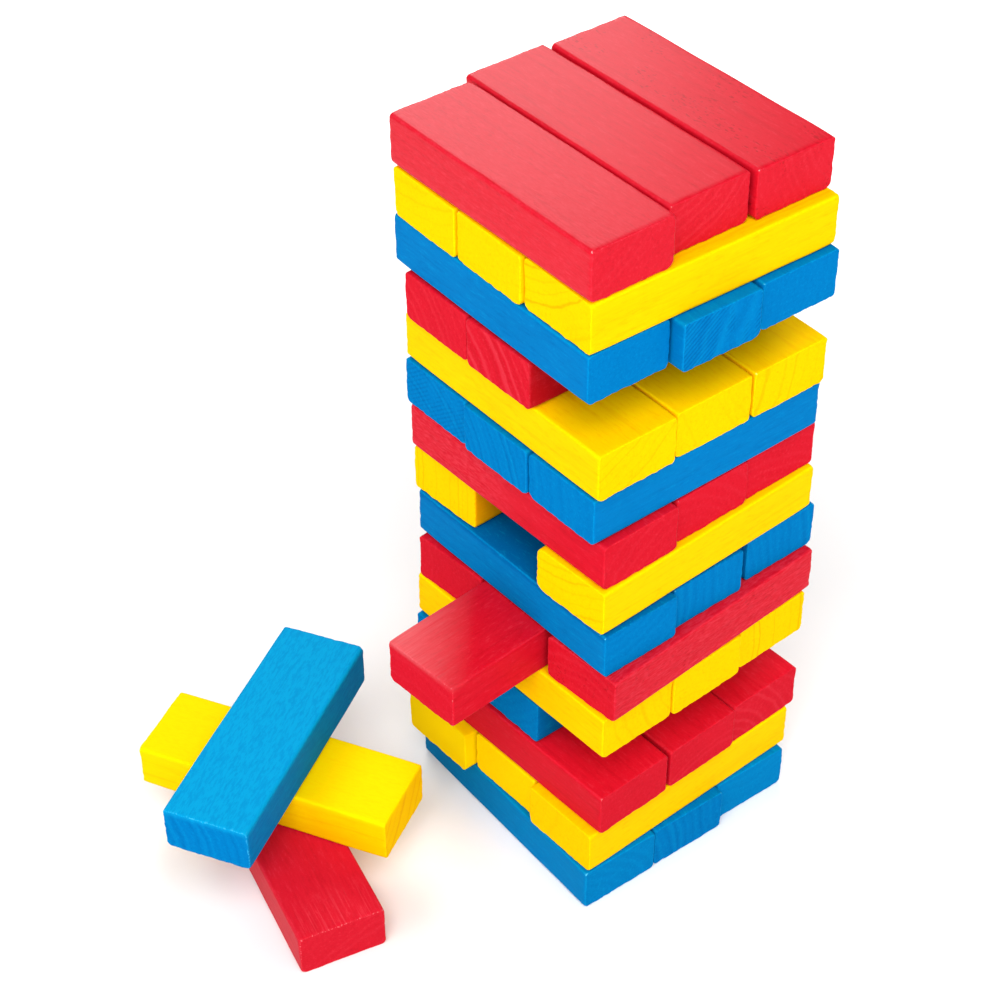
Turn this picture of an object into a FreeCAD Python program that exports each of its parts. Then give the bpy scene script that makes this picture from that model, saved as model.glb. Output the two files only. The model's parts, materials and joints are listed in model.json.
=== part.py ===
import FreeCAD, Part
import collections
import math
import os

# A tumbling tower of painted wooden blocks, caught in mid-game, with the three blocks
# already taken out lying in a loose pile beside it. Every block is a separate solid.
#
# Units are millimetres. +Z is up and the floor is at Z = 0. The origin is at the middle
# of the tower's footprint. Odd layers, counted from the floor, run along X, and even
# layers run along Y. The pile lies in front of the tower, towards -Y.

# Driving dimensions of one block.
BLOCK_LENGTH = 190.0
BLOCK_WIDTH = 62.5
BLOCK_HEIGHT = 35.5
LONG_EDGE_RADIUS = 3.0
END_EDGE_RADIUS = 1.2

# Air between one layer and the next, so that no two blocks share any volume.
SEAT_GAP = 0.1
LAYER_PITCH = BLOCK_HEIGHT + SEAT_GAP

# The paint repeats every three layers, from the floor up.
LAYER_COLOURS = ("blue", "yellow", "red")

# Slot names in a layer that runs along X and in one that runs along Y.
SLOTS_ALONG_X = ("front", "middle", "back")
SLOTS_ALONG_Y = ("left", "middle", "right")

# One layer of three slots:
#   turn    how far the layer is turned about the tower's axis, in degrees
#   shift   how far its middle slot stands off the tower's axis, across the blocks
#   gaps    free width between the first and middle slots, and the middle and last
#   pushes  how far each block is pushed along its own length, or EMPTY if it is gone
Layer = collections.namedtuple("Layer", "turn shift gaps pushes")
EMPTY = None

LAYERS = (
    Layer(turn=-2.5, shift=-4.5, gaps=(0.5, 0.5), pushes=(10, 9, 3)),
    Layer(turn=1.0, shift=4.5, gaps=(1.0, 1.0), pushes=(-11, -2, -7)),
    Layer(turn=1.5, shift=-0.5, gaps=(2.5, 0.5), pushes=(6, 6, 4)),
    Layer(turn=0.5, shift=5.5, gaps=(2.0, 1.0), pushes=(-2, 1, EMPTY)),
    Layer(turn=1.0, shift=-0.5, gaps=(0.5, 2.0), pushes=(5, 6, 3)),
    Layer(turn=3.5, shift=3.0, gaps=(1.5, 5.0), pushes=(5, -78, 0)),
    Layer(turn=0.0, shift=3.5, gaps=(1.0, 7.0), pushes=(4, -1, -5)),
    Layer(turn=2.0, shift=-2.0, gaps=(3.0, 2.5), pushes=(8, EMPTY, 0)),
    Layer(turn=0.5, shift=4.5, gaps=(2.0, 0.5), pushes=(-1, -5, -7)),
    Layer(turn=-0.5, shift=-4.0, gaps=(0.5, 0.5), pushes=(2, 0, 1)),
    Layer(turn=-1.0, shift=2.5, gaps=(1.5, 1.5), pushes=(-2, -4, -4)),
    Layer(turn=-1.0, shift=3.0, gaps=(1.0, 1.0), pushes=(-1, -2, EMPTY)),
    Layer(turn=-2.0, shift=-0.5, gaps=(1.5, 2.0), pushes=(-7, 3, 0)),
    Layer(turn=-2.5, shift=-4.5, gaps=(1.0, 0.5), pushes=(-2, -1, 1)),
    Layer(turn=-1.5, shift=-0.5, gaps=(1.5, 2.5), pushes=(-8, -16, -13)),
)

# The loose blocks, from the floor up: name, centre X, centre Y, heading in degrees.
LOOSE_BLOCKS = (
    ("loose_red", -63.0, -234.0, -14),
    ("loose_yellow", -95.0, -217.0, 28),
    ("loose_blue", -95.5, -225.0, 119.5),
)

# Where a block stands: the centre of its bottom face, and the heading of its length.
Place = collections.namedtuple("Place", "name x y z heading push")


def edges_along_x(solid):
    """The straight edges of a solid that run along X."""
    found = []
    for edge in solid.Edges:
        start, end = edge.Vertexes[0].Point, edge.Vertexes[-1].Point
        if abs(end.x - start.x) > BLOCK_LENGTH / 2:
            found.append(edge)
    return found


def edges_of_ends(solid):
    """Every edge that lies wholly in one of the two end faces."""
    found = []
    for edge in solid.Edges:
        box = edge.BoundBox
        flat_in_x = box.XLength < END_EDGE_RADIUS / 10
        if flat_in_x and abs(box.XMax) > BLOCK_LENGTH / 2 - END_EDGE_RADIUS:
            found.append(edge)
    return found


def make_block():
    """One block, its length along X, standing on Z = 0 with its centre over the origin."""
    corner = FreeCAD.Vector(-BLOCK_LENGTH / 2, -BLOCK_WIDTH / 2, 0)
    plain = Part.makeBox(BLOCK_LENGTH, BLOCK_WIDTH, BLOCK_HEIGHT, corner)
    rounded = plain.makeFillet(LONG_EDGE_RADIUS, edges_along_x(plain))
    return rounded.makeFillet(END_EDGE_RADIUS, edges_of_ends(rounded))


def slot_offsets(layer):
    """How far each of a layer's three slots stands off the tower's axis, across the blocks."""
    first = layer.shift - BLOCK_WIDTH - layer.gaps[0]
    last = layer.shift + BLOCK_WIDTH + layer.gaps[1]
    return first, layer.shift, last


def turned(x, y, degrees):
    """The point (x, y) turned about the tower's axis."""
    angle = math.radians(degrees)
    turned_x = x * math.cos(angle) - y * math.sin(angle)
    turned_y = x * math.sin(angle) + y * math.cos(angle)
    return turned_x, turned_y


def places_in_layer(number, layer):
    """The places of the blocks in one layer; layer 1 stands on the floor."""
    along_x = number % 2 == 1
    slots = SLOTS_ALONG_X if along_x else SLOTS_ALONG_Y
    colour = LAYER_COLOURS[(number - 1) % len(LAYER_COLOURS)]
    places = []
    for slot, offset, push in zip(slots, slot_offsets(layer), layer.pushes):
        if push is EMPTY:
            continue
        if along_x:
            x, y = turned(push, offset, layer.turn)
            heading = layer.turn
        else:
            x, y = turned(offset, push, layer.turn)
            heading = layer.turn + 90
        name = f"layer_{number:02d}_{colour}_{slot}"
        places.append(Place(name, x, y, (number - 1) * LAYER_PITCH, heading, push))
    return places


def tower_places():
    """The places of all the blocks still in the tower, from the floor up."""
    places = []
    for number, layer in enumerate(LAYERS, start=1):
        places.extend(places_in_layer(number, layer))
    return places


def loose_places():
    """The places of the blocks in the pile, each lying flat on the one below."""
    places = []
    for level, (name, x, y, heading) in enumerate(LOOSE_BLOCKS):
        places.append(Place(name, x, y, level * LAYER_PITCH, heading, 0))
    return places


def placed_block(block, place):
    """A copy of the block standing at a place."""
    solid = block.copy()
    solid.rotate(FreeCAD.Vector(0, 0, 0), FreeCAD.Vector(0, 0, 1), place.heading)
    solid.translate(FreeCAD.Vector(place.x, place.y, place.z))
    return solid


def main():
    os.makedirs("parts", exist_ok=True)
    block = make_block()
    for place in tower_places() + loose_places():
        placed_block(block, place).exportStep(f"parts/{place.name}.step")


main()
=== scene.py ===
import json
import math
import random

import bpy
import numpy as np
from mathutils import Matrix, Vector, noise


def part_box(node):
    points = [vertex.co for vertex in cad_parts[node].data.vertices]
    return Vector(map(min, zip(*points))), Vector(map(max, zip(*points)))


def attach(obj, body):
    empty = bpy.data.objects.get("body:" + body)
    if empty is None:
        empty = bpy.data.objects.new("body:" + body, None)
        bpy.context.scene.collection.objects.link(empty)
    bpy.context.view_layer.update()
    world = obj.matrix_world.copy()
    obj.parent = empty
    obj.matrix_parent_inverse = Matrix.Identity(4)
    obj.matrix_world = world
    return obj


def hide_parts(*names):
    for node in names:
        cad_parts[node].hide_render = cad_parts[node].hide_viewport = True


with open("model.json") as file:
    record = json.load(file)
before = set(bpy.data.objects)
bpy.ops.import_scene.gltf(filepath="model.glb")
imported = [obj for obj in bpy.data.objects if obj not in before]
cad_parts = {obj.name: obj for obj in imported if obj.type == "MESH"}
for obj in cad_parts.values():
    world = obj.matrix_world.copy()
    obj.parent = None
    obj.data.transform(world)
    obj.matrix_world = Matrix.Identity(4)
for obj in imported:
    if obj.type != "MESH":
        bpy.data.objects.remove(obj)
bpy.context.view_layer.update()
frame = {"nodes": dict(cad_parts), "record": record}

# Looks for a tumbling tower of painted wooden blocks. Every CAD block is replaced by a
# block of the same size whose long edges are sanded round by hand, whose ends are sawn a
# little ragged, and whose thin paint lets the wood's growth rings and fibres show.
# Lengths are in metres. A block's own X runs along it towards the end that shows, Y is to
# the right as that end is seen, and Z is up.

MM = 0.001

# ---------------------------------------------------------------- shape of one block
LOWER_EDGE_RADIUS = (2.5 * MM, 3.7 * MM)
UPPER_EDGE_RADIUS = (1.6 * MM, 2.8 * MM)
LONG_EDGE_DRIFT = 0.5 * MM
END_SANDING = 0.8 * MM
END_SANDING_REACH = 8 * MM
END_EDGE_RADIUS = 1.05 * MM
END_EDGE_DRIFT = 0.95 * MM
END_EDGE_FINE = 0.85 * MM
END_EDGE_LEAST = 0.25 * MM
SKIN_INSET = 0.10 * MM
FACE_WAVE = 0.14 * MM
FACE_GRIT = 0.05 * MM
END_WAVE = 0.22 * MM
RING_RELIEF = 0.06 * MM

# How fast each noise changes, per metre: along the block, and across it and up it.
EDGE_DRIFT_NOISE = 30
FACE_WAVE_NOISE = (16, 22)
FACE_GRIT_NOISE = (60, 300)
END_DRIFT_NOISE = 120
END_FINE_NOISE = 330
END_WAVE_NOISE = 45

# Each noise has its own channel, so that no two are alike; the four long edges take 1 to 4.
FIRST_EDGE_CHANNEL = 1
FACE_WAVE_CHANNEL = 6
FACE_GRIT_CHANNEL = 7
END_DRIFT_CHANNEL = 8
END_FINE_CHANNEL = 9
END_WAVE_CHANNEL = 10
CHANNEL_STEP = (17.3, 5.1, 9.7)

# How far apart the two ends lie in the noise, so that they don't match.
END_DRIFT_APART = 3.0
END_FINE_APART = 5.0
END_WAVE_APART = 2.0

ARC_STEPS = 6
WIDE_STEPS = 36
HIGH_STEPS = 20
STATION_STEP = 5 * MM
FIRST_STATION = 0.8 * STATION_STEP
END_BEND_STEPS = 4
EDGE_FADE = 1.5 * MM
CHIP_AND_GLINT_SIZE = 2.6 * MM
RUB_AND_HIGHLIGHT_REACH = 4 * MM

# Blocks whose edges are rounder than the rest: corner number (0 is +Y +Z, then round
# anticlockwise) and radius.
ROUNDER_EDGES = {
    "layer_08_yellow_right": {1: 5.6 * MM, 2: 5.2 * MM},
    "layer_10_blue_right": {1: 3.2 * MM, 2: 4.8 * MM},
    "layer_14_yellow_right": {2: 4.2 * MM},
    "layer_14_yellow_left": {3: 2.4 * MM},
    "layer_13_blue_middle": {0: 3.2 * MM, 3: 4.4 * MM},
    "layer_15_red_front": {3: 4.6 * MM},
}

# ---------------------------------------------------------------- the wood of each block
# Where the pith lies as seen on the end that shows: its angle anticlockwise from the
# right, in degrees, and its distance in mm. Then the rings' spacing in mm, and how
# strongly they show through the paint.
RINGS = {
    "layer_14_yellow_right": (118, 120, 7.5, 1.0),
    "layer_14_yellow_left": (100, 120, 9.0, 0.35),
    "layer_14_yellow_middle": (100, 120, 8.0, 0.10),
    "layer_13_blue_front": (100, 120, 8.0, 0.10),
    "layer_13_blue_middle": (160, 140, 15.0, 0.6),
    "layer_12_red_middle": (218, 110, 9.0, 1.0),
    "layer_12_red_left": (215, 90, 7.0, 0.35),
    "layer_11_yellow_front": (125, 100, 7.0, 0.5),
    "layer_11_yellow_back": (170, 110, 9.0, 0.5),
    "layer_10_blue_left": (230, 120, 5.0, 0.6),
    "layer_10_blue_middle": (205, 110, 6.0, 1.0),
    "layer_10_blue_right": (184, 140, 9.0, 0.5),
    "layer_08_yellow_left": (180, 140, 4.5, 0.6),
    "layer_08_yellow_right": (108, 110, 8.0, 0.7),
    "layer_07_blue_middle": (182, 120, 8.0, 0.6),
    "layer_07_blue_back": (190, 120, 7.0, 0.6),
    "layer_05_yellow_back": (182, 140, 5.0, 0.8),
    "layer_03_red_back": (225, 80, 7.0, 0.5),
    "layer_01_blue_middle": (187, 100, 7.0, 0.8),
    "loose_blue": (195, 90, 7.0, 0.7),
    "loose_yellow": (140, 90, 9.0, 1.0),
}

# Blocks that have no row above take random wood within these limits.
ANY_DISTANCE = (60, 130)
ANY_SPACING = (5.0, 9.0)
ANY_STRENGTH = (0.10, 0.40)
PITH_LEAN = 0.06
NOISE_SPREAD = 40

# Marks on single blocks, each with its strength:
#   SAWN              saw marks across both ends
#   FLECKED           dark flecks
#   MOTTLED           a mottled bloom on the long faces
#   MOTTLED_FAR_HALF  the same on the half away from the end that shows
#   PAINTED_SHADE_SIDES painted shade: a deeper coat on the long face towards +Y, which lies
#                       in a recess
#   PAINTED_SHADE_TOPS  painted shade: a deeper coat on the top face, which lies in a recess
#   PAINTED_SHEEN_CORNER painted sheen: whitened paint on the top face, towards its left corner
#                       at the end that shows, standing in for a reflection there
#   PAINTED_LIGHT_BLOCKS painted light: a lighter coat all over, for more light on these blocks
#                       near the floor
#   PAINTED_LIGHT_TOPS  painted light: a lighter coat on the top face, where more light falls
#   SCUFFED           scuffs near the end that shows
#   RUBBED_AND_HIGHLIT  edges rubbed bare round that end, with a painted highlight along them
# PAINTED_GLINT_CORNERS blocks have a painted glint at the upper left corner of the end that
# shows.
SAWN = {"layer_13_blue_middle": 1.0, "layer_10_blue_left": 0.5}
FLECKED = {"layer_15_red_back": 0.9, "layer_06_red_right": 0.8, "layer_15_red_front": 0.25}
MOTTLED = {"loose_blue": 0.5, "layer_06_red_right": 0.6, "layer_15_red_front": 0.3}
MOTTLED_FAR_HALF = {"layer_09_red_front": 0.7}
# Painted shade: on the blocks below, faces that lie in recesses take a deeper coat for the shade
# there.
PAINTED_SHADE_SIDES = {"layer_12_red_middle": 1.0, "layer_08_yellow_left": 1.0,
              "layer_04_blue_middle": 0.6}
PAINTED_SHADE_TOPS = {"layer_07_blue_front": 1.0, "layer_07_blue_middle": 1.0}
# Painted sheen: whitened paint on the top face near the end that shows, for a reflection there.
PAINTED_SHEEN_CORNER = {"layer_06_red_middle": 1.0}
# Painted light: these blocks near the floor take a lighter coat all over, for more light on them.
PAINTED_LIGHT_BLOCKS = {"layer_02_yellow_left": 1.0, "layer_02_yellow_middle": 0.5, "loose_yellow": 0.3,
        "loose_red": 0.08, "layer_01_blue_front": 0.16, "layer_01_blue_back": 0.20}
# Painted light: these blocks take a lighter coat on the top face, where more light falls.
PAINTED_LIGHT_TOPS = {"loose_blue": 0.75, "loose_yellow": 0.6}
SCUFFED = {"loose_red": 1.0}
# Edges rubbed bare round the end that shows, with a painted highlight along them.
RUBBED_AND_HIGHLIT = {"loose_blue": 0.8, "loose_red": 0.7, "layer_06_red_middle": 0.6,
          "layer_15_red_front": 0.35, "layer_09_red_front": 0.4, "layer_12_red_middle": 0.4}
# Painted glint: these blocks take a bright mark at the upper left corner of the end that shows.
PAINTED_GLINT_CORNERS = ("layer_13_blue_middle", "layer_13_blue_back", "layer_07_blue_front",
           "layer_07_blue_middle", "layer_01_blue_front", "layer_15_red_front",
           "layer_15_red_back", "layer_03_red_middle", "layer_06_red_middle")
UPPER_LEFT_CORNER = (1, -1, 1)
SCUFF_START = 55 * MM
SCUFF_FULL = 80 * MM
FAR_FADE = 15 * MM
SHEEN_START = 48 * MM
SHEEN_FADE = 60 * MM

# Where the top face and the +Y face begin, and how fast they set in, as parts of the
# block's half height and half width.
TOP_START = 0.7
TOP_FADE = 0.25
SIDE_START = 0.9
SIDE_FADE = 0.08

# The top layer's blocks have a glossier coat: its gloss and roughness.
POLISHED = ("layer_15_red_front", "layer_15_red_middle", "layer_15_red_back")
POLISHED_GLOSS = 0.062
POLISHED_ROUGH = 0.28

# Paint colours, linear: the coat; the deeper coat over dark rings, also used for painted
# shade in recesses; the lighter coat over worn edges, also used for a painted highlight on
# edges and painted light on tops and on whole blocks; and the colour of a chipped corner,
# also used for painted glints, a painted highlight on rubbed edges and a painted sheen.
# Then how much rings darken and lighten the coat, how high a ring must rise to darken it,
# how much edges lighten it (worn, and with a painted highlight), its gloss and its least
# roughness.
PAINTS = {
    "red": dict(coat=(0.600, 0.0055, 0.0190), deep=(0.42, 0.0030, 0.0090),
                light=(0.72, 0.050, 0.080), chip_and_glint=(0.85, 0.35, 0.36),
                ring_deep=0.20, ring_light=0.35, ring_edge=0.0, edge=0.16,
                gloss=0.022, rough=0.34),
    "yellow": dict(coat=(0.97, 0.560, 0.0002), deep=(0.85, 0.370, 0.0002),
                   light=(0.95, 0.680, 0.0006), chip_and_glint=(1.0, 0.80, 0.15),
                   ring_deep=0.85, ring_light=0.10, ring_edge=0.35, edge=0.75,
                   gloss=0.006, rough=0.45),
    "blue": dict(coat=(0.0001, 0.168, 0.455), deep=(0.0001, 0.110, 0.340),
                 light=(0.002, 0.310, 0.600), chip_and_glint=(0.08, 0.50, 0.78),
                 ring_deep=0.45, ring_light=0.22, ring_edge=0.10, edge=0.35,
                 gloss=0.006, rough=0.42),
}

# The noises under the paint: how fast each changes per metre, along the block, across it
# and up it, then its detail and roughness.
PAINT_NOISES = {
    "fibre": ((28, 620, 620), 4.0, 0.6),
    "streak": ((7, 260, 260), 2.0, 0.5),
    "speckle": ((700, 700, 700), 2.0, 0.6),
    "grit": ((110, 430, 430), 3.0, 0.7),
    "blotch": ((14, 30, 30), 2.0, 0.5),
    "warp": ((9, 60, 60), 2.0, 0.5),
    "saw_patch": ((10, 55, 25), 2.0, 0.5),
    "fleck": ((260, 520, 520), 1.0, 0.5),
    "fleck_patch": ((16, 40, 40), 2.0, 0.5),
    "bloom": ((170, 700, 700), 3.0, 0.6),
    "scratch": ((26, 640, 640), 3.0, 0.5),
}

# Where a value begins to count, where it counts in full, and its weight.
FIBRE_SHADE = (0.50, 0.75, 0.24)
GRIT_SHADE = (0.52, 0.70, 0.32)
STREAK_SHADE = (0.50, 0.75, 0.22)
BLOTCH_SHADE = (0.45, 0.75, 0.12)
FLECK_SHADE = (0.60, 0.68, 1.0)
FLECK_PATCH = (0.48, 0.58, 1.0)
SAW_MARK = (-0.2, 0.8, 1.0)
SAW_PATCH = (0.38, 0.52, 1.0)
GRIT_LIFT = (0.46, 0.30, 0.22)
SPECKLE_LIFT = (0.50, 0.85, 0.16)
SCRATCH_LIFT = (0.48, 0.70, 0.35)
BLOOM = (0.38, 0.68, 1.0)
CHIP_AND_GLINT = (0.62, 0.82, 1.0)
BARE_AND_HIGHLIT_EDGE = (0.55, 1.0, 0.45)
WORN_HIGHLIT_EDGE_START = 0.55
WORN_HIGHLIT_EDGE_FULL = 1.15

# How uneven the rings are, and how much of their strength shows on the long faces.
RING_WARP = 0.8
RING_WAVE = 0.6
RING_UNEVEN = 2.4
RING_UNEVEN_SCALE = 1.3
SIDE_RINGS = 0.4

SAW_PERIOD = 2.8 * MM
SAW_SLANT = (0.0, 0.6, -0.8)
SAW_SHADE = 0.85
TINT_SHADE = 0.05
MOTTLE_LIFT = 0.55
TOP_LIGHT_LIFT = 0.85
TOP_LIGHT_BLOOM = 0.4
SHEEN_LIFT = 0.06
SHEEN_FIBRE = 0.36

# How ragged the noises make the borders of worn edges with their painted highlight, chipped
# corners with their painted glints, and bare edges.
WEAR_AND_HIGHLIGHT_FIBRE = 0.9
WEAR_AND_HIGHLIGHT_SPECKLE = 0.8
CHIP_AND_GLINT_SPECKLE = 0.9
BARE_AND_HIGHLIT_BLOOM = 0.7

# How the noises roughen the paint, and how high each stands in its relief.
SPECKLE_ROUGH = 0.10
END_ROUGH = 0.22
FIBRE_HEIGHT = 0.7
SPECKLE_HEIGHT = 0.4
RING_HEIGHT = 0.5
SAW_HEIGHT = -0.6
BUMP_STRENGTH = 0.30
BUMP_DISTANCE = 0.20 * MM

# ---------------------------------------------------------------- camera, floor, light
CAMERA_PLACE = (0.8567, -0.7959, 1.2337)
CAMERA_AZIMUTH = 50.825
CAMERA_ELEVATION = 40.03
CAMERA_ROLL = -0.40
CAMERA_LENS = 82.695
SENSOR_WIDTH = 36.0
FLOOR_SIZE = 40.0
FLOOR_WHITE = 0.91

# The floor's glow rises with the distance from the tower, in two steps.
FLOOR_GLOW = 0.30
GLOW_START = 0.30
GLOW_FULL = 1.0
FAR_GLOW = 0.65
FAR_GLOW_START = 2.0
FAR_GLOW_FULL = 5.0
FLOOR_ROUGH = 0.8
FLOOR_ROUGH_VARIES = 0.1
FLOOR_NOISE = (9, 9, 9)

# The world's light on the scene, and how bright the camera sees it behind the scene.
SKY_STRENGTH = 0.10
BACKGROUND_STRENGTH = 0.90

# Soft boxes: name, place, what it is aimed at, width, height and power.
SOFT_BOXES = (
    ("front_box", (1.84, -1.67, 3.41), (0.0, -0.05, 0.25), 2.9, 2.9, 174.0),
    ("right_box", (1.90, 0.15, 1.20), (0.0, 0.0, 0.25), 1.4, 1.2, 9.5),
    ("left_box", (-0.10, -2.00, 1.20), (0.0, 0.0, 0.25), 1.4, 1.2, 17.0),
    ("far_box", (0.90, 2.20, 1.50), (0.0, 0.0, 0.25), 1.4, 1.2, 13.0),
    ("back_box", (-1.93, 1.05, 1.68), (0.0, 0.0, 0.40), 1.4, 0.9, 38.0),
)


def block_frame(node):
    """Where a CAD block is: its centre, heading and size, read from its own mesh."""
    mesh = frame["nodes"][node].data
    points = np.array([v.co for v in mesh.vertices], float)
    low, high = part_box(node)
    centre = np.array((low + high) / 2)
    flat = points[:, :2] - centre[:2]
    spread, directions = np.linalg.eigh(flat.T @ flat)
    along = directions[:, int(np.argmax(spread))]
    if along[0] < along[1]:
        along = -along
    heading = math.atan2(along[1], along[0])
    across = np.array((-along[1], along[0]))
    size = (np.ptp(flat @ along), np.ptp(flat @ across), high.z - low.z)
    return Vector(centre), heading, size


class Wood:
    """One block's own wood: where its pith runs, how wide its rings are, and its noise."""

    def __init__(self, node):
        self.dice = random.Random(node)
        self.offset = Vector([self.dice.uniform(-NOISE_SPREAD, NOISE_SPREAD) for _ in range(3)])
        any_wood = (self.dice.uniform(0, 360), self.dice.uniform(*ANY_DISTANCE),
                    self.dice.uniform(*ANY_SPACING), self.dice.uniform(*ANY_STRENGTH))
        angle, distance, spacing, self.strength = RINGS.get(node, any_wood)
        direction = np.array((math.cos(math.radians(angle)), math.sin(math.radians(angle))))
        self.pith = direction * distance * MM
        self.spacing = spacing * MM
        self.lean = np.array([self.dice.uniform(-PITH_LEAN, PITH_LEAN) for _ in range(2)])
        self.tint = self.dice.uniform(-1, 1)
        self.radii = [self.dice.uniform(*(UPPER_EDGE_RADIUS if corner < 2 else LOWER_EDGE_RADIUS))
                      for corner in range(4)]
        for corner, radius in ROUNDER_EDGES.get(node, {}).items():
            self.radii[corner] = radius
        # a painted glint at the upper left corner of the end that shows, and a chipped corner at
        # random
        self.chips_and_glints = [UPPER_LEFT_CORNER] if node in PAINTED_GLINT_CORNERS else []
        self.chips_and_glints.append(tuple(self.dice.choice((-1, 1)) for _ in range(3)))

    def rings(self, points):
        """How many growth rings lie between the pith and each point."""
        pith = self.pith + points[:, :1] * self.lean
        return np.linalg.norm(points[:, 1:] - pith, axis=1) / self.spacing

    def noise(self, x, y=0.0, z=0.0, channel=0):
        """Smooth noise from -1 to 1 of a position that is already scaled."""
        shift = self.offset + Vector(CHANNEL_STEP) * channel
        return noise.noise(Vector((x, y, z)) + shift)


def outline(half_width, half_height, radii):
    """A rounded rectangle's outline, and its outward normals, anticlockwise from +Y."""
    signs = ((1, 1), (-1, 1), (-1, -1), (1, -1))
    points, normals = [], []
    for corner, (side, level) in enumerate(signs):
        radius = radii[corner]
        centre = np.array((side * (half_width - radius), level * (half_height - radius)))
        for step in range(ARC_STEPS + 1):
            angle = math.pi / 2 * (corner + step / ARC_STEPS)
            normal = np.array((math.cos(angle), math.sin(angle)))
            points.append(centre + radius * normal)
            normals.append(normal)
        next_side, next_level = signs[(corner + 1) % 4]
        next_radius = radii[(corner + 1) % 4]
        next_centre = np.array((next_side * (half_width - next_radius),
                                next_level * (half_height - next_radius)))
        start, end = centre + radius * normal, next_centre + next_radius * normal
        steps = WIDE_STEPS if corner % 2 == 0 else HIGH_STEPS
        for step in range(1, steps):
            points.append(start + (end - start) * step / steps)
            normals.append(normal)
    return np.array(points), np.array(normals)


def outline_bend():
    """How far round a long edge each point of an outline is: 0 on a face, 1 half way."""
    bend = []
    for corner in range(4):
        bend += [math.sin(math.pi * step / ARC_STEPS) for step in range(ARC_STEPS + 1)]
        bend += [0.0] * ((WIDE_STEPS if corner % 2 == 0 else HIGH_STEPS) - 1)
    return np.array(bend)


def cap_border():
    """The grid cell corners round an end cap, in the same order as outline()."""
    half_arc = ARC_STEPS // 2
    columns, rows = WIDE_STEPS + ARC_STEPS, HIGH_STEPS + ARC_STEPS
    border = [(columns, row) for row in range(rows - half_arc, rows)]
    border += [(column, rows) for column in range(columns, 0, -1)]
    border += [(0, row) for row in range(rows, 0, -1)]
    border += [(column, 0) for column in range(columns)]
    border += [(columns, row) for row in range(rows - half_arc)]
    return border, columns, rows


def cap_inside(ring, border, columns, rows):
    """The points inside an end cap, spanned smoothly between the points of its outline."""
    edge = {cell: point for cell, point in zip(border, ring)}
    inside = {}
    for column in range(1, columns):
        u = column / columns
        for row in range(1, rows):
            v = row / rows
            low, high = edge[(column, 0)], edge[(column, rows)]
            left, right = edge[(0, row)], edge[(columns, row)]
            corners = ((1 - u) * (1 - v) * edge[(0, 0)] + u * (1 - v) * edge[(columns, 0)]
                       + (1 - u) * v * edge[(0, rows)] + u * v * edge[(columns, rows)])
            inside[(column, row)] = ((1 - v) * low + v * high + (1 - u) * left + u * right
                                     - corners)
    return inside


def side_loops(wood, half):
    """The outlines along a block from one end to the other, bending in at both ends."""

    def radii_at(x):
        """The four long edges' radii where they pass a station."""
        sanding = END_SANDING * math.exp((abs(x) - half[0]) / END_SANDING_REACH)
        radii = []
        for corner, radius in enumerate(wood.radii):
            channel = FIRST_EDGE_CHANNEL + corner
            drift = LONG_EDGE_DRIFT * wood.noise(x * EDGE_DRIFT_NOISE, channel=channel)
            radii.append(radius + sanding + drift)
        return radii

    def skin(x):
        """The outline at x, pulled in a little where the planed faces are not quite flat."""
        points, normals = outline(half[1], half[2], radii_at(x))
        depths = []
        for y, z in points:
            along, across = FACE_WAVE_NOISE
            wave = wood.noise(x * along, y * across, z * across, FACE_WAVE_CHANNEL)
            along, across = FACE_GRIT_NOISE
            grit = wood.noise(x * along, y * across, z * across, FACE_GRIT_CHANNEL)
            depths.append(FACE_WAVE * (0.5 + 0.5 * wave) + FACE_GRIT * (0.5 + 0.5 * grit))
        return points - normals * np.array(depths)[:, None], normals

    def end_loops(sign):
        """The outlines that bend round from a long face into an end, the end's first."""
        points, normals = skin(sign * half[0])
        reach = []
        for y, z in points:
            drift = wood.noise(y * END_DRIFT_NOISE, z * END_DRIFT_NOISE,
                               sign * END_DRIFT_APART, END_DRIFT_CHANNEL)
            fine = wood.noise(y * END_FINE_NOISE, z * END_FINE_NOISE,
                              sign * END_FINE_APART, END_FINE_CHANNEL)
            radius = END_EDGE_RADIUS + END_EDGE_DRIFT * drift + END_EDGE_FINE * fine
            reach.append(max(END_EDGE_LEAST, radius))
        reach = np.array(reach)
        loops = []
        for step in range(END_BEND_STEPS + 1):
            angle = math.pi / 2 * step / END_BEND_STEPS
            x = sign * (half[0] - reach * (1 - math.cos(angle)))
            inset = reach * (1 - math.sin(angle))
            loops.append(np.column_stack((x, points - normals * inset[:, None])))
        return loops

    first = half[0] - FIRST_STATION
    stations = []
    for x in np.linspace(-first, first, round(2 * first / STATION_STEP) + 1):
        points, _ = skin(x)
        stations.append(np.column_stack((np.full(len(points), x), points)))
    return end_loops(-1) + stations + end_loops(1)[::-1]


def loop_faces(loops):
    """The quads between one outline and the next, all the way along a block."""
    count = len(loops[0])
    faces = []
    for number in range(len(loops) - 1):
        a, b = number * count, (number + 1) * count
        for k in range(count):
            n = (k + 1) % count
            faces.append((a + k, a + n, b + n, b + k))
    return faces


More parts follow.
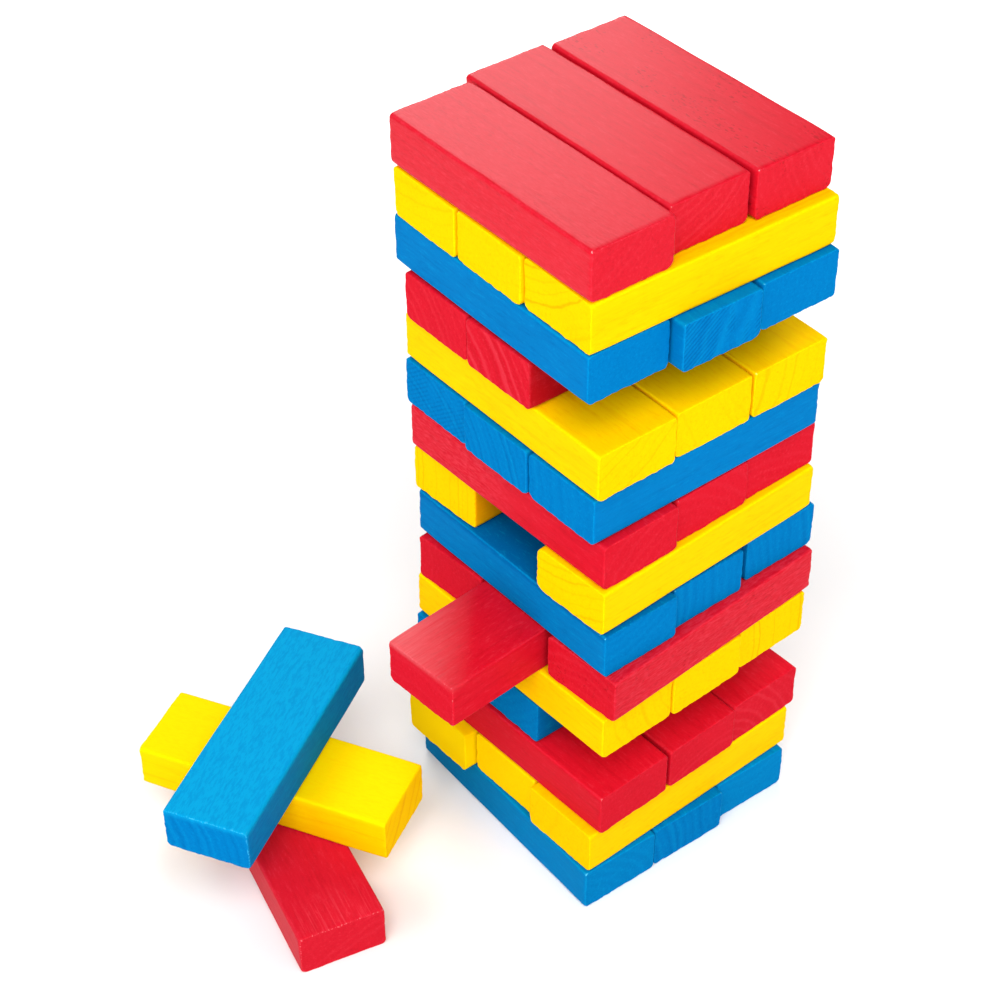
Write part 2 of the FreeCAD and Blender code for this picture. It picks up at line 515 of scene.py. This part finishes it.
def cap_faces(wood, half, loops, sides):
    """The points inside both end caps, and the quads that close the ends with them."""
    count = len(loops[0])
    border, columns, rows = cap_border()
    caps, faces = [], []
    for sign, base in ((-1, 0), (1, (len(loops) - 1) * count)):
        numbers = {cell: base + k for k, cell in enumerate(border)}
        inside = cap_inside(sides[base:base + count, 1:], border, columns, rows)
        for cell, (y, z) in inside.items():
            numbers[cell] = len(sides) + len(caps)
            noise_value = wood.noise(y * END_WAVE_NOISE, z * END_WAVE_NOISE,
                                     sign * END_WAVE_APART, END_WAVE_CHANNEL)
            wave = 0.5 + 0.5 * noise_value
            caps.append((sign * (half[0] - END_WAVE * wave / 2), y, z))
        for column in range(columns):
            for row in range(rows):
                quad = (numbers[(column, row)], numbers[(column + 1, row)],
                        numbers[(column + 1, row + 1)], numbers[(column, row + 1)])
                faces.append(quad if sign > 0 else quad[::-1])
    return np.array(caps), faces


def edge_wear_and_highlight(vertices, half, bend, is_end):
    """How worn each point is, and how much painted highlight it takes: 1 on an edge, fading out
    over the faces beside it.
    """
    from_end = half[0] - np.abs(vertices[:, 0])
    from_side = np.minimum(half[1] - np.abs(vertices[:, 1]), half[2] - np.abs(vertices[:, 2]))
    from_edge = np.where(is_end > 0, from_side, from_end)
    return np.maximum(bend, np.exp(-np.maximum(from_edge, 0) / EDGE_FADE))


def chip_and_glint_marks(wood, vertices, half):
    """How deep each point lies in a mark at one of the block's corners: a chipped corner, and on
    some blocks a painted glint.
    """
    chips_and_glints = np.zeros(len(vertices))
    for corner in wood.chips_and_glints:
        distance = np.linalg.norm(vertices - np.array(corner) * half, axis=1)
        chips_and_glints = np.maximum(chips_and_glints, np.exp(-(distance / CHIP_AND_GLINT_SIZE) ** 2))
    return chips_and_glints


def block_figure(node, wood, vertices, half, wear_and_highlight, is_end):
    """What the paint needs to know at each point, by name; places are before ridges."""
    x, y, z = vertices.T
    everywhere = np.ones(len(vertices))
    top = np.clip((z / half[2] - TOP_START) / TOP_FADE, 0, 1)
    side = np.clip((y / half[1] - SIDE_START) / SIDE_FADE, 0, 1)
    scuff = np.clip((x - SCUFF_START) / (SCUFF_FULL - SCUFF_START), 0, 1)
    near_shown_end = np.exp(-np.maximum(half[0] - x, 0) / RUB_AND_HIGHLIGHT_REACH)
    far_half = np.clip(0.5 - x / (2 * FAR_FADE), 0, 1)
    painted_sheen = np.clip((x - y - SHEEN_START) / SHEEN_FADE, 0, 1)
    mottle = MOTTLED.get(node, 0.0) + far_half * MOTTLED_FAR_HALF.get(node, 0.0)
    return {
        "rings": wood.rings(vertices),
        "wear_and_highlight": wear_and_highlight,
        "end": is_end,
        "chip_and_glint": chip_and_glint_marks(wood, vertices, half),
        "tint": everywhere * wood.tint,
        "strength": everywhere * wood.strength,
        "sawn": everywhere * SAWN.get(node, 0.0),
        "fleck": everywhere * FLECKED.get(node, 0.0),
        "mottle": mottle * (1 - is_end),
        # painted shade: a deeper coat on faces that lie in recesses
        "dark": side * PAINTED_SHADE_SIDES.get(node, 0.0) + top * PAINTED_SHADE_TOPS.get(node, 0.0),
        # painted light: a lighter coat all over on blocks near the floor
        "pale": everywhere * PAINTED_LIGHT_BLOCKS.get(node, 0.0),
        # painted sheen on the top face near the end that shows
        "painted_sheen": top * painted_sheen * PAINTED_SHEEN_CORNER.get(node, 0.0),
        # painted light: a lighter coat on the top face
        "painted_top_light": top * PAINTED_LIGHT_TOPS.get(node, 0.0),
        "scuff": scuff * SCUFFED.get(node, 0.0),
        # edges rubbed bare near the end that shows, with a painted highlight
        "rub_and_highlight": near_shown_end * wear_and_highlight * RUBBED_AND_HIGHLIT.get(node, 0.0),
    }


def block_mesh(node, size):
    """The mesh of one block about its own centre, with its wood's figure on its points."""
    wood = Wood(node)
    half = [side / 2 - SKIN_INSET for side in size]
    loops = side_loops(wood, half)
    count = len(loops[0])
    sides = np.concatenate(loops)
    caps, end_faces = cap_faces(wood, half, loops, sides)
    vertices = np.concatenate((sides, caps))
    bend = np.concatenate((np.tile(outline_bend(), len(loops)), np.zeros(len(caps))))
    is_end = np.zeros(len(vertices))
    is_end[:count] = 1
    is_end[len(sides) - count:] = 1

    wear_and_highlight = edge_wear_and_highlight(vertices, half, bend, is_end)
    figure = block_figure(node, wood, vertices, half, wear_and_highlight, is_end)
    ridge = 0.5 - 0.5 * np.cos(2 * math.pi * figure["rings"])
    ridge *= RING_RELIEF * wood.strength * is_end
    vertices[:, 0] -= np.sign(vertices[:, 0]) * ridge

    mesh = bpy.data.meshes.new(node + "_mesh")
    mesh.from_pydata([tuple(v) for v in vertices], [], loop_faces(loops) + end_faces)
    mesh.polygons.foreach_set("use_smooth", [True] * len(mesh.polygons))
    for name, values in figure.items():
        layer = mesh.attributes.new(name, "FLOAT", "POINT")
        layer.data.foreach_set("value", values.astype(np.float32))
    layer = mesh.attributes.new("seed", "FLOAT_VECTOR", "POINT")
    seeds = np.tile(np.array(wood.offset), len(vertices))
    layer.data.foreach_set("vector", seeds.astype(np.float32))
    mesh.update()
    return mesh


# ---------------------------------------------------------------- paint
class Nodes:
    """Short ways to add shader nodes to one material."""

    def __init__(self, material):
        material.use_nodes = True
        self.tree = material.node_tree
        self.tree.nodes.clear()

    def add(self, kind, **settings):
        node = self.tree.nodes.new("ShaderNode" + kind)
        for name, value in settings.items():
            setattr(node, name, value)
        return node

    def link(self, value, socket):
        if isinstance(value, (int, float, tuple)):
            socket.default_value = value
        else:
            self.tree.links.new(value, socket)

    def attribute(self, name, output="Fac"):
        return self.add("Attribute", attribute_name=name).outputs[output]

    def math(self, operation, a, b=0.0, clamp=False):
        node = self.add("Math", operation=operation, use_clamp=clamp)
        self.link(a, node.inputs[0])
        self.link(b, node.inputs[1])
        return node.outputs[0]

    def times(self, *factors):
        """The product of several values."""
        product = factors[0]
        for factor in factors[1:]:
            product = self.math("MULTIPLY", product, factor)
        return product

    def total(self, *terms):
        """The sum of several values."""
        result = terms[0]
        for term in terms[1:]:
            result = self.math("ADD", result, term)
        return result

    def ramp(self, value, low, high):
        """0 below low, 1 above high, smooth between."""
        node = self.add("MapRange", interpolation_type="SMOOTHSTEP")
        self.link(value, node.inputs["Value"])
        node.inputs["From Min"].default_value = low
        node.inputs["From Max"].default_value = high
        return node.outputs["Result"]

    def mix(self, factor, a, b):
        node = self.add("Mix", data_type="RGBA")
        self.link(factor, node.inputs[0])
        for value, socket in ((a, node.inputs[6]), (b, node.inputs[7])):
            self.link((*value, 1.0) if isinstance(value, tuple) else value, socket)
        return node.outputs[2]

    def sum_of_vectors(self, a, b):
        node = self.add("VectorMath", operation="ADD")
        self.link(a, node.inputs[0])
        self.link(b, node.inputs[1])
        return node.outputs[0]

    def noise(self, place, scale, detail=2.0, roughness=0.5):
        """Noise with its own scale along the block, across it and up it, per metre."""
        mapping = self.add("Mapping")
        self.link(place, mapping.inputs["Vector"])
        mapping.inputs["Scale"].default_value = scale
        node = self.add("TexNoise")
        self.link(mapping.outputs[0], node.inputs["Vector"])
        node.inputs["Scale"].default_value = 1.0
        node.inputs["Detail"].default_value = detail
        node.inputs["Roughness"].default_value = roughness
        return node.outputs["Fac"]

    def band(self, value, limits):
        """The weight of a value between the limits where it begins and counts in full."""
        low, high, weight = limits
        return self.times(self.ramp(value, low, high), weight)

    def spread(self, value, amount):
        """A value from 0 to 1 made to swing evenly about nothing."""
        return self.times(self.math("SUBTRACT", value, 0.5), amount)

    def surface(self, shader):
        """Make a shader the material's surface."""
        self.link(shader.outputs[0], self.add("OutputMaterial").inputs["Surface"])

    def line_noise(self, value, scale):
        """Noise that changes with one value only."""
        node = self.add("TexNoise", noise_dimensions="1D")
        self.link(value, node.inputs["W"])
        node.inputs["Scale"].default_value = scale
        node.inputs["Detail"].default_value = 1.0
        return node.outputs["Fac"]


def ring_bands(n, noises, paint):
    """The dark and the light bands of the growth rings: uneven, and stronger on end grain."""
    turns = n.total(n.attribute("rings"), n.times(noises["warp"], RING_WARP))
    wave = n.math("SINE", n.times(turns, 2 * math.pi))
    uneven = n.line_noise(turns, RING_UNEVEN_SCALE)
    wave = n.total(n.times(wave, RING_WAVE), n.spread(uneven, RING_UNEVEN))
    where = n.total(SIDE_RINGS, n.times(n.attribute("end"), 1 - SIDE_RINGS))
    show = n.times(n.attribute("strength"), where)
    late = n.times(n.ramp(wave, paint["ring_edge"], 1.0), show)
    early = n.times(n.ramp(wave, 0.0, -1.0), show)
    return late, early


def saw_marks(n, noises, own_place):
    """Fine slanting lines across an end, in patches."""
    slant = n.add("VectorMath", operation="DOT_PRODUCT")
    n.link(own_place, slant.inputs[0])
    slant.inputs[1].default_value = SAW_SLANT
    lines = n.math("SINE", n.times(slant.outputs["Value"], 2 * math.pi / SAW_PERIOD))
    patch = n.band(noises["saw_patch"], SAW_PATCH)
    return n.times(n.band(lines, SAW_MARK), patch, n.attribute("sawn"), n.attribute("end"))


def deeper_share(n, noises, paint, is_side, late, saw):
    """How far the coat goes towards its deeper colour, with painted shade on faces in recesses.
    """
    flecks = n.times(n.band(noises["fleck"], FLECK_SHADE),
                     n.band(noises["fleck_patch"], FLECK_PATCH), n.attribute("fleck"))
    shade = n.total(
        n.times(late, paint["ring_deep"]),
        n.times(saw, SAW_SHADE),
        # painted shade on long faces and tops that lie in recesses
        n.times(n.attribute("dark"), is_side),
        n.band(noises["fibre"], FIBRE_SHADE),
        n.band(noises["grit"], GRIT_SHADE),
        n.times(n.band(noises["streak"], STREAK_SHADE), is_side),
        n.band(noises["blotch"], BLOTCH_SHADE),
        n.times(n.attribute("tint"), TINT_SHADE),
        flecks)
    return n.math("MINIMUM", shade, 1.0)


def lighter_share(n, noises, paint, is_side, early, bloom):
    """How far rubbed or bloomed paint, painted highlights on edges and painted light on some tops
    and blocks take the coat towards the lighter colour.
    """
    ragged_wear_and_highlight = n.total(n.attribute("wear_and_highlight"), n.spread(noises["fibre"], WEAR_AND_HIGHLIGHT_FIBRE),
                          n.spread(noises["speckle"], WEAR_AND_HIGHLIGHT_SPECKLE))
    # worn edges, partly a painted highlight along them
    worn_and_highlit_edge = n.ramp(ragged_wear_and_highlight, WORN_HIGHLIT_EDGE_START, WORN_HIGHLIT_EDGE_FULL)
    # painted light on the top face
    painted_top_light = n.total(TOP_LIGHT_LIFT, n.times(bloom, TOP_LIGHT_BLOOM))
    lift = n.total(
        n.times(early, paint["ring_light"]),
        n.band(noises["grit"], GRIT_LIFT),
        n.band(noises["speckle"], SPECKLE_LIFT),
        # painted light on blocks near the floor
        n.attribute("pale"),
        # worn edges, with a painted highlight along them
        n.times(worn_and_highlit_edge, paint["edge"]),
        n.times(n.attribute("mottle"), bloom, MOTTLE_LIFT),
        n.times(n.attribute("painted_top_light"), painted_top_light),
        n.times(n.attribute("scuff"), is_side, n.band(noises["scratch"], SCRATCH_LIFT)))
    return n.math("MINIMUM", lift, 1.0)


def bare_share(n, noises, bloom):
    """How far chipped corners with painted glints, bare edges with a painted highlight, and a
    painted sheen go towards the colour of a chipped corner.
    """
    # chipped corners, and painted glints
    chip_and_glint = n.total(n.attribute("chip_and_glint"), n.spread(noises["speckle"], CHIP_AND_GLINT_SPECKLE))
    # edges rubbed bare, with a painted highlight
    edge = n.total(n.attribute("rub_and_highlight"), n.spread(bloom, BARE_AND_HIGHLIT_BLOOM))
    sheen_amount = n.total(SHEEN_LIFT, n.times(noises["fibre"], SHEEN_FIBRE))
    bare = n.math("MAXIMUM", n.band(chip_and_glint, CHIP_AND_GLINT), n.band(edge, BARE_AND_HIGHLIT_EDGE))
    # painted sheen
    return n.math("MAXIMUM", bare, n.times(n.attribute("painted_sheen"), sheen_amount))


def relief(n, noises, late, saw):
    """The small relief of the wood under the paint, as a normal."""
    height = n.total(n.times(noises["fibre"], FIBRE_HEIGHT),
                     n.times(noises["speckle"], SPECKLE_HEIGHT),
                     n.times(late, RING_HEIGHT), n.times(saw, SAW_HEIGHT))
    bump = n.add("Bump")
    bump.inputs["Strength"].default_value = BUMP_STRENGTH
    bump.inputs["Distance"].default_value = BUMP_DISTANCE
    n.link(height, bump.inputs["Height"])
    return bump.outputs[0]


def paint_material(colour, polished=False):
    """Satin paint over softwood, with the grain showing through as ridges and shade."""
    paint = PAINTS[colour]
    gloss = POLISHED_GLOSS if polished else paint["gloss"]
    least_rough = POLISHED_ROUGH if polished else paint["rough"]
    material = bpy.data.materials.new(colour + ("_polished" if polished else "_paint"))
    n = Nodes(material)
    own_place = n.add("TexCoord").outputs["Object"]
    place = n.sum_of_vectors(own_place, n.attribute("seed", "Vector"))
    noises = {name: n.noise(place, *settings) for name, settings in PAINT_NOISES.items()}
    is_end = n.attribute("end")
    is_side = n.math("SUBTRACT", 1.0, is_end)
    bloom = n.band(noises["bloom"], BLOOM)
    late, early = ring_bands(n, noises, paint)
    saw = saw_marks(n, noises, own_place)

    deeper = deeper_share(n, noises, paint, is_side, late, saw)
    coat = n.mix(deeper, paint["coat"], paint["deep"])
    lighter = lighter_share(n, noises, paint, is_side, early, bloom)
    coat = n.mix(lighter, coat, paint["light"])
    coat = n.mix(bare_share(n, noises, bloom), coat, paint["chip_and_glint"])
    rough = n.total(least_rough, n.times(noises["speckle"], SPECKLE_ROUGH),
                    n.times(is_end, END_ROUGH))

    shader = n.add("BsdfPrincipled")
    n.link(coat, shader.inputs["Base Color"])
    n.link(rough, shader.inputs["Roughness"])
    shader.inputs["Specular IOR Level"].default_value = gloss
    n.link(relief(n, noises, late, saw), shader.inputs["Normal"])
    n.surface(shader)
    return material


def floor_material():
    """Plain white paper, lit a little from below away from the object."""
    material = bpy.data.materials.new("floor_white")
    n = Nodes(material)
    place = n.add("TexCoord").outputs["Object"]
    shader = n.add("BsdfPrincipled")
    shader.inputs["Base Color"].default_value = (FLOOR_WHITE, FLOOR_WHITE, FLOOR_WHITE, 1)
    shader.inputs["Specular IOR Level"].default_value = 0.0
    shader.inputs["Emission Color"].default_value = (1, 1, 1, 1)
    distance = n.add("VectorMath", operation="LENGTH")
    n.link(place, distance.inputs[0])
    distance = distance.outputs["Value"]
    glow = n.times(n.ramp(distance, GLOW_START, GLOW_FULL), FLOOR_GLOW)
    far_glow = n.times(n.ramp(distance, FAR_GLOW_START, FAR_GLOW_FULL), FAR_GLOW)
    n.link(n.total(glow, far_glow), shader.inputs["Emission Strength"])
    varies = n.times(n.noise(place, FLOOR_NOISE), FLOOR_ROUGH_VARIES)
    n.link(n.total(FLOOR_ROUGH, varies), shader.inputs["Roughness"])
    n.surface(shader)
    return material


# ---------------------------------------------------------------- the scene
def add_blocks():
    """Every block, in place of its CAD solid and riding on the same body."""
    materials = {colour: paint_material(colour) for colour in PAINTS}
    polished = paint_material("red", polished=True)
    for body, nodes in frame["record"]["behaviour"]["bodies"].items():
        node = nodes[0]
        centre, heading, size = block_frame(node)
        colour = next(c for c in PAINTS if c in node.split("_"))
        block = bpy.data.objects.new("block_" + node, block_mesh(node, size))
        block.data.materials.append(polished if node in POLISHED else materials[colour])
        bpy.context.scene.collection.objects.link(block)
        block.matrix_world = Matrix.Translation(centre) @ Matrix.Rotation(heading, 4, "Z")
        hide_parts(node)
        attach(block, body)


def add_floor():
    """A plain pale floor under the object."""
    half = FLOOR_SIZE / 2
    mesh = bpy.data.meshes.new("floor_mesh")
    corners = [(-half, -half, 0), (half, -half, 0), (half, half, 0), (-half, half, 0)]
    mesh.from_pydata(corners, [], [(0, 1, 2, 3)])
    floor = bpy.data.objects.new("floor", mesh)
    floor.data.materials.append(floor_material())
    bpy.context.scene.collection.objects.link(floor)


def add_camera():
    """The camera at the viewing angle."""
    camera = bpy.data.objects.new("camera", bpy.data.cameras.new("camera"))
    camera.data.lens = CAMERA_LENS
    camera.data.sensor_width = SENSOR_WIDTH
    turn = Matrix.Rotation(math.radians(CAMERA_AZIMUTH), 4, "Z")
    tilt = Matrix.Rotation(math.radians(90 - CAMERA_ELEVATION), 4, "X")
    roll = Matrix.Rotation(math.radians(CAMERA_ROLL), 4, "Z")
    camera.matrix_world = Matrix.Translation(CAMERA_PLACE) @ turn @ tilt @ roll
    bpy.context.scene.collection.objects.link(camera)
    bpy.context.scene.camera = camera


def add_room():
    """A white room that adds only a little light, and shows white behind the scene."""
    scene = bpy.context.scene
    world = bpy.data.worlds.new("white_room")
    scene.world = world
    world.use_nodes = True
    tree = world.node_tree
    sky = tree.nodes["Background"]
    background = tree.nodes.new("ShaderNodeBackground")
    for node, strength in ((sky, SKY_STRENGTH), (background, BACKGROUND_STRENGTH)):
        node.inputs["Color"].default_value = (1, 1, 1, 1)
        node.inputs["Strength"].default_value = strength
    seen = tree.nodes.new("ShaderNodeLightPath").outputs["Is Camera Ray"]
    either = tree.nodes.new("ShaderNodeMixShader")
    tree.links.new(seen, either.inputs[0])
    tree.links.new(sky.outputs[0], either.inputs[1])
    tree.links.new(background.outputs[0], either.inputs[2])
    tree.links.new(either.outputs[0], tree.nodes["World Output"].inputs["Surface"])


def add_soft_boxes():
    """Soft boxes in front, at the sides and behind, out of the camera's sight."""
    for name, place, target, width, height, watts in SOFT_BOXES:
        light = bpy.data.lights.new(name, "AREA")
        light.shape = "RECTANGLE"
        light.size = width
        light.size_y = height
        light.energy = watts
        box = bpy.data.objects.new(name, light)
        box.visible_camera = False
        aim = Vector(target) - Vector(place)
        box.matrix_world = (Matrix.Translation(place)
                            @ aim.to_track_quat("-Z", "Y").to_matrix().to_4x4())
        bpy.context.scene.collection.objects.link(box)


def main():
    bpy.context.scene.view_settings.view_transform = "Standard"
    add_blocks()
    add_floor()
    add_camera()
    add_room()
    add_soft_boxes()


main()
